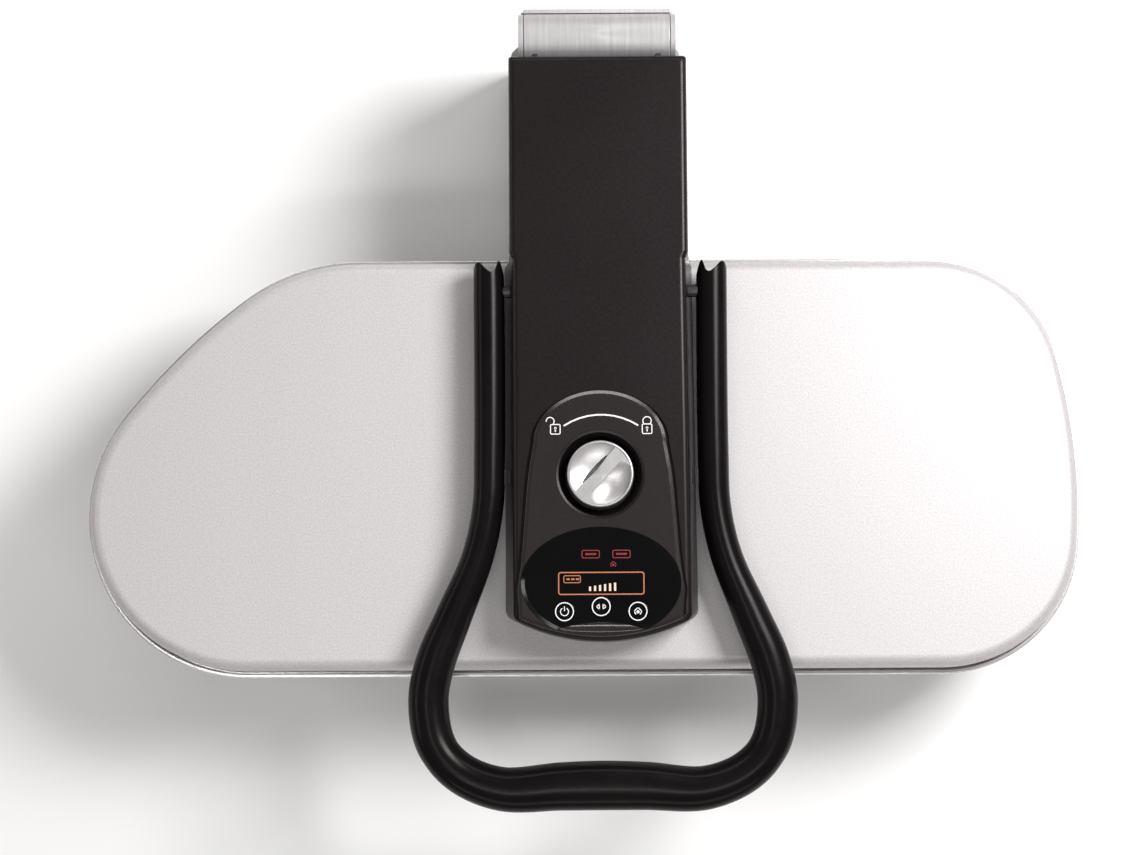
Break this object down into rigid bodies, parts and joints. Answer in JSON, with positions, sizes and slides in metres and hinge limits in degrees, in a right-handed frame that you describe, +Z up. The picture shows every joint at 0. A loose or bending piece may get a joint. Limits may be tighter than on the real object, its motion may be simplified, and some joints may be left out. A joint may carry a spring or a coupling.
{
  "type": "steam ironing press",
  "caption": "Tabletop steam ironing press with a padded board, a heated head under a hinged arm, a looped handle and a lock knob.",
  "frame": {"origin": "on the ground, under the middle of the whole press", "axes": "+X to the user's right along the board, +Y to the hinge at the back, +Z up"},
  "size_m": [0.6208, 0.4934, 0.1986],
  "materials": {
    "silver_paint": "fine metallic satin",
    "brushed_silver": "brushed",
    "satin_black": "satin",
    "soft_black": "satin",
    "gloss_black": "gloss",
    "grey_plastic": "fine grained",
    "chrome": "satin chrome",
    "steel": "zinc plated",
    "cast_aluminium": "cast and machined",
    "bronze": "sintered",
    "rubber": "matt",
    "foam": "open foam",
    "cloth": "woven cover",
    "fibre": "braided and felted fibre",
    "smoke_clear": "clear moulded",
    "board_green": "lacquered circuit board"
  },
  "bodies": {
    "base": {"base_shell": "grey_plastic", "base_plate": "steel", "foot_front_left": "rubber", "foot_front_right": "rubber", "foot_rear_left": "rubber", "foot_rear_right": "rubber", "board_pedestal": "grey_plastic", "board_pan": "steel", "board_pad": "foam", "board_cover": "cloth", "hinge_yoke": "steel", "rod_pin": "steel", "column_cover": "brushed_silver", "hinge_pin_left": "steel", "hinge_pin_right": "steel", "counter_spring_left": "steel", "counter_spring_right": "steel", "water_pump": "soft_black", "pump_hose": "fibre", "power_board": "board_green", "cord_gland": "rubber", "base_wiring": "soft_black"},
    "tank": {"water_tank": "smoke_clear", "tank_lid": "smoke_clear", "tank_cap": "soft_black", "tank_grip": "soft_black"},
    "arm": {"arm_cover": "satin_black", "arm_underside": "satin_black", "arm_frame": "steel", "hinge_cap": "brushed_silver", "hinge_bush_left": "bronze", "hinge_bush_right": "bronze", "handle_bush_left": "bronze", "handle_bush_right": "bronze", "console_panel": "satin_black", "display_lens": "gloss_black", "display_board": "board_green", "bolt_guide": "cast_aluminium", "head_mount": "cast_aluminium", "head_cover": "silver_paint", "head_skirt": "grey_plastic", "heating_plate": "cast_aluminium", "heating_element": "steel", "steam_chamber": "cast_aluminium", "thermostat": "steel", "insulation_mat": "fibre", "steam_hose": "fibre", "wiring_loom": "soft_black"},
    "handle": {"handle_loop": "soft_black", "handle_shaft": "steel", "handle_crank": "steel"},
    "rod": {"pull_rod": "steel"},
    "knob": {"lock_knob": "chrome", "lock_shaft": "steel", "lock_cam": "steel"},
    "bolt_left": {"lock_bolt_left": "steel"},
    "bolt_right": {"lock_bolt_right": "steel"},
    "power_key": {"key_power": "gloss_black"},
    "mode_key": {"key_mode": "gloss_black"},
    "steam_key": {"key_steam": "gloss_black"}
  },
  "joints": [
    {"name": "arm_hinge", "type": "hinge", "parent": "base", "child": "arm", "pos_m": [0.0095, 0.2288, 0.166], "axis": [-1, 0, 0], "range_deg": [0, 50]},
    {"name": "handle_swing", "type": "hinge", "parent": "arm", "child": "handle", "pos_m": [0.0095, 0.07, 0.172], "axis": [-1, 0, 0], "range_deg": [0, 25]},
    {"name": "rod_link", "type": "hinge", "parent": "handle", "child": "rod", "pos_m": [0.0095, 0.07, 0.16], "axis": [-1, 0, 0], "range_deg": [-24, 0]},
    {"name": "lock_turn", "type": "hinge", "parent": "arm", "child": "knob", "pos_m": [0.0095, -0.044, 0.18], "axis": [0, 0, 1], "range_deg": [0, 92]},
    {"name": "bolt_slide_left", "type": "slide", "parent": "arm", "child": "bolt_left", "axis": [1, 0, 0], "range_m": [0, 0.006]},
    {"name": "bolt_slide_right", "type": "slide", "parent": "arm", "child": "bolt_right", "axis": [-1, 0, 0], "range_m": [0, 0.006]},
    {"name": "power_key_press", "type": "slide", "parent": "arm", "child": "power_key", "axis": [0, 0, -1], "range_m": [0, 0.0006], "stiffness_N_per_m": 800},
    {"name": "mode_key_press", "type": "slide", "parent": "arm", "child": "mode_key", "axis": [0, 0, -1], "range_m": [0, 0.0006], "stiffness_N_per_m": 800},
    {"name": "steam_key_press", "type": "slide", "parent": "arm", "child": "steam_key", "axis": [0, 0, -1], "range_m": [0, 0.0006], "stiffness_N_per_m": 800},
    {"name": "tank_slide", "type": "slide", "parent": "base", "child": "tank", "axis": [0, 1, 0], "range_m": [0, 0.09]}
  ],
  "couplings": [
    {"joint": "handle_swing", "follows": "arm_hinge", "ratio": 0.5},
    {"joint": "rod_link", "follows": "arm_hinge", "ratio": -0.4764},
    {"joint": "bolt_slide_left", "follows": "lock_turn", "m_per_rad": 0.0037367},
    {"joint": "bolt_slide_right", "follows": "lock_turn", "m_per_rad": 0.0037367}
  ]
}
